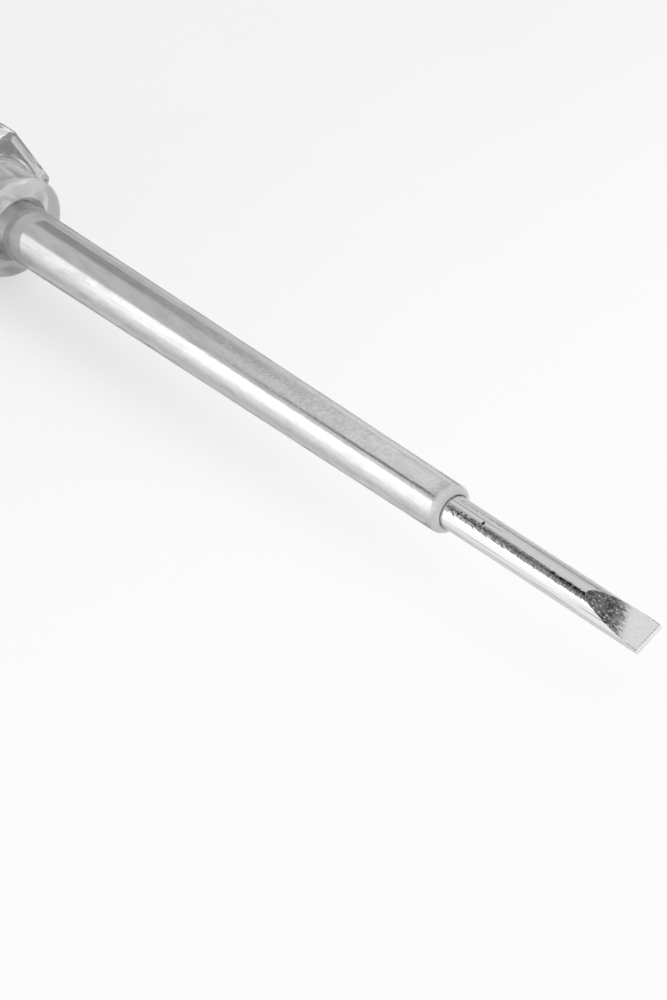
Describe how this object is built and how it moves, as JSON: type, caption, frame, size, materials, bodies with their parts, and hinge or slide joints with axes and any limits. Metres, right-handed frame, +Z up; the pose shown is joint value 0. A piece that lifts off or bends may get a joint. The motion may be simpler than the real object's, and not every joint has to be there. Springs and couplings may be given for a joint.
{
  "type": "voltage tester screwdriver",
  "caption": "Mains voltage tester with a flat screwdriver tip, a sleeved shank, and a clear handle that holds a resistor, a neon lamp and a spring behind a screwed touch cap with a pocket clip.",
  "frame": {"origin": "middle of the tool's length and width, on the surface that it lies on", "axes": "+X along the tool's axis towards the blade tip, +Z up from the surface, +Y across the tool"},
  "size_m": [0.165, 0.0148, 0.0159],
  "materials": {
    "plated_steel": "bright plated, drawn",
    "milky_plastic": "translucent gloss",
    "clear_plastic": "clear moulded gloss",
    "resistor_film": "lacquered film",
    "nickel_plate": "nickel plated",
    "lamp_glass": "clear glass",
    "nickel_wire": "matt nickel",
    "spring_steel": "bright spring wire and strip",
    "brass": "turned"
  },
  "bodies": {
    "handle": {"handle_body": "clear_plastic", "shank": "plated_steel", "shank_sleeve": "milky_plastic", "resistor_core": "resistor_film", "resistor_front_cap": "nickel_plate", "resistor_rear_cap": "nickel_plate", "neon_envelope": "lamp_glass", "neon_front_seal": "lamp_glass", "neon_rear_seal": "lamp_glass", "neon_front_electrode": "nickel_wire", "neon_rear_electrode": "nickel_wire", "neon_front_cap": "nickel_plate", "neon_rear_cap": "nickel_plate", "contact_spring": "spring_steel", "clip_band": "spring_steel"},
    "spring_seat": {"contact_disc": "brass"},
    "tail": {"tail_plug": "brass", "touch_cap": "nickel_plate"},
    "clip": {"clip_arm": "spring_steel"}
  },
  "joints": [
    {"name": "cap_travel", "type": "slide", "parent": "handle", "child": "spring_seat", "axis": [-1, 0, 0], "range_m": [0, 0.00562], "deforming": ["contact_spring"]},
    {"name": "cap_turn", "type": "hinge", "parent": "spring_seat", "child": "tail", "pos_m": [-0.07462, 0, 0.0065], "axis": [-1, 0, 0], "range_deg": [0, 1621]},
    {"name": "clip_flex", "type": "hinge", "parent": "handle", "child": "clip", "pos_m": [-0.07508, 0, 0.0125], "axis": [0, -1, 0], "range_deg": [0, 5], "stiffness_Nm_per_rad": 0.05, "springref_deg": -2.86}
  ],
  "couplings": [
    {"joint": "cap_turn", "follows": "cap_travel", "rad_per_m": 5026.5}
  ]
}
